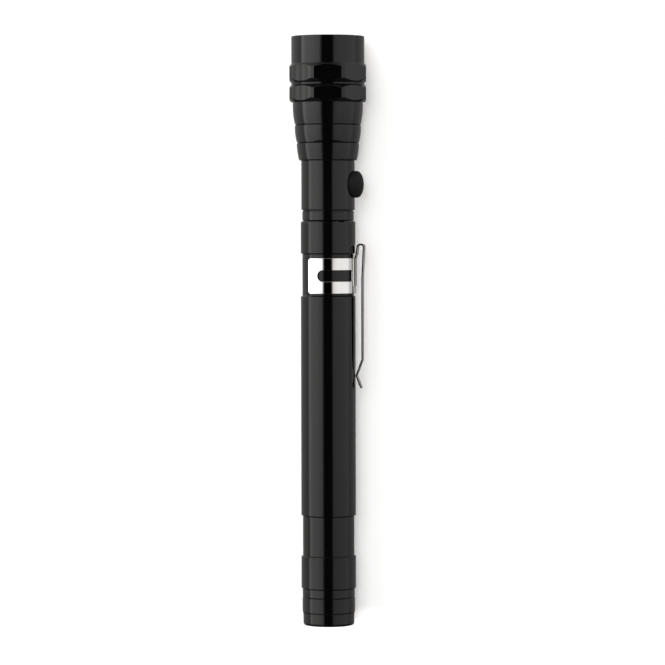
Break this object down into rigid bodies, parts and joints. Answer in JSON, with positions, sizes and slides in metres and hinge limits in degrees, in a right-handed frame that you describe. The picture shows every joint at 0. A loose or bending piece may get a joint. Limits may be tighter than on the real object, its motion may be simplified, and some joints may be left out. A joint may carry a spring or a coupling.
{
  "type": "telescoping flashlight",
  "caption": "Slim black flashlight with a bell-shaped lamp head, side button and spring clip; the head draws out on nested tubes and a flexible neck, and each end holds a magnet.",
  "frame": {"origin": "centre of the flat tail face, which the flashlight stands on", "axes": "+Z along the flashlight's axis towards the lamp, +X to the side that the pocket clip and the button are on"},
  "size_m": [0.022, 0.022, 0.17],
  "materials": {
    "black_coat": "gloss black coat",
    "bright_steel": "bright plated",
    "plated_tube": "bright plated",
    "brass": "bright",
    "magnet_plate": "nickel plated",
    "black_rubber": "matt",
    "black_plastic": "satin",
    "white_plastic": "satin",
    "circuit_board": "satin",
    "cell_steel": "bright",
    "led_lens": "clear"
  },
  "bodies": {
    "handle": {"barrel": "black_coat", "guide_bush": "black_plastic", "tail_cap": "black_coat", "tail_magnet": "magnet_plate", "rod_anchor": "brass"},
    "rod": {"tube_5": "plated_tube", "friction_sleeve_5": "brass"},
    "section_4": {"tube_4": "plated_tube", "friction_sleeve_4": "brass"},
    "section_3": {"tube_3": "plated_tube", "friction_sleeve_3": "brass"},
    "section_2": {"tube_2": "plated_tube", "friction_sleeve_2": "brass"},
    "head": {"tube_1": "plated_tube", "flexible_neck": "bright_steel", "upper_ferrule": "brass", "lower_ferrule": "brass", "neck_plug": "black_coat", "retaining_ring": "bright_steel", "neck_tube": "black_coat", "head_seal": "black_rubber", "switch_body": "black_plastic", "switch_board": "circuit_board", "switch_carrier": "black_plastic", "negative_disc": "brass", "negative_spring": "bright_steel", "battery_sleeve": "white_plastic", "button_cell_1": "cell_steel", "button_cell_2": "cell_steel", "button_cell_3": "cell_steel", "button_cell_4": "cell_steel", "positive_contact": "brass", "led_1": "led_lens", "led_2": "led_lens", "led_3": "led_lens", "led_board": "circuit_board", "led_holder": "white_plastic", "front_plate": "black_plastic", "head_magnet": "magnet_plate", "head_shell": "black_coat"},
    "button": {"switch_button": "black_rubber", "switch_plunger": "white_plastic"},
    "clip": {"pocket_clip": "bright_steel"}
  },
  "joints": [
    {"name": "telescope_swivel", "type": "hinge", "parent": "handle", "child": "rod", "pos_m": [0, 0, 0.0051], "axis": [0, 0, 1], "continuous": true},
    {"name": "slide_4", "type": "slide", "parent": "rod", "child": "section_4", "axis": [0, 0, 1], "range_m": [0, 0.0989]},
    {"name": "slide_3", "type": "slide", "parent": "section_4", "child": "section_3", "axis": [0, 0, 1], "range_m": [0, 0.0989]},
    {"name": "slide_2", "type": "slide", "parent": "section_3", "child": "section_2", "axis": [0, 0, 1], "range_m": [0, 0.0989]},
    {"name": "slide_1", "type": "slide", "parent": "section_2", "child": "head", "axis": [0, 0, 1], "range_m": [0, 0.0989]},
    {"name": "button_press", "type": "slide", "parent": "head", "child": "button", "axis": [-0.9833, 0.1822, 0], "range_m": [0, 0.0008], "stiffness_N_per_m": 1200, "springref_m": -0.0008},
    {"name": "clip_turn", "type": "hinge", "parent": "handle", "child": "clip", "pos_m": [0, 0, 0.101], "axis": [0, 0, 1], "continuous": true}
  ]
}
